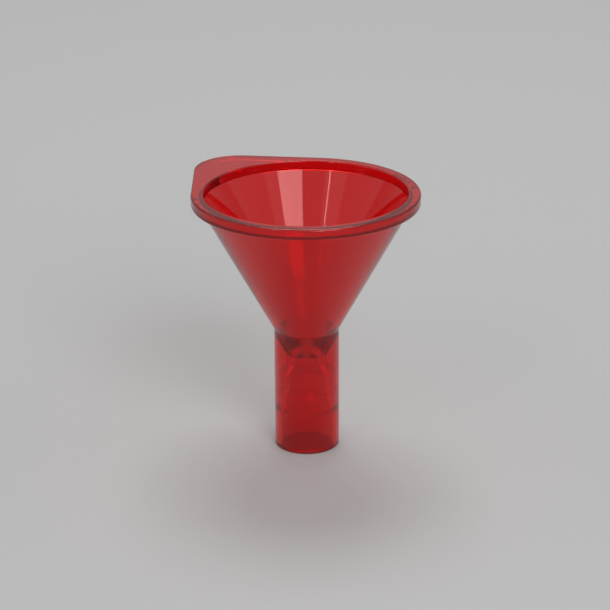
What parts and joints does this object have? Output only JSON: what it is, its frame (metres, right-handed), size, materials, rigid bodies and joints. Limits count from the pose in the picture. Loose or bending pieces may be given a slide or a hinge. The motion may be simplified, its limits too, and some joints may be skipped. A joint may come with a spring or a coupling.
{
  "type": "powder funnel",
  "caption": "Small one-piece translucent red plastic funnel with a flat rim, an anti-roll corner tab, a conical bowl and a stepped socket spout.",
  "frame": {"origin": "centre of the spout's lower end, on the funnel's axis", "axes": "+Z along the funnel's axis, up towards the mouth; +Y towards the corner tab; +X to the right of the tab's centre line"},
  "size_m": [0.0604, 0.0696, 0.0715],
  "materials": {
    "red_plastic": "polished translucent red moulded plastic"
  },
  "bodies": {
    "root": {"rim_flange": "red_plastic", "bowl_cone": "red_plastic", "throat_neck": "red_plastic", "spout_socket": "red_plastic"}
  },
  "joints": []
}
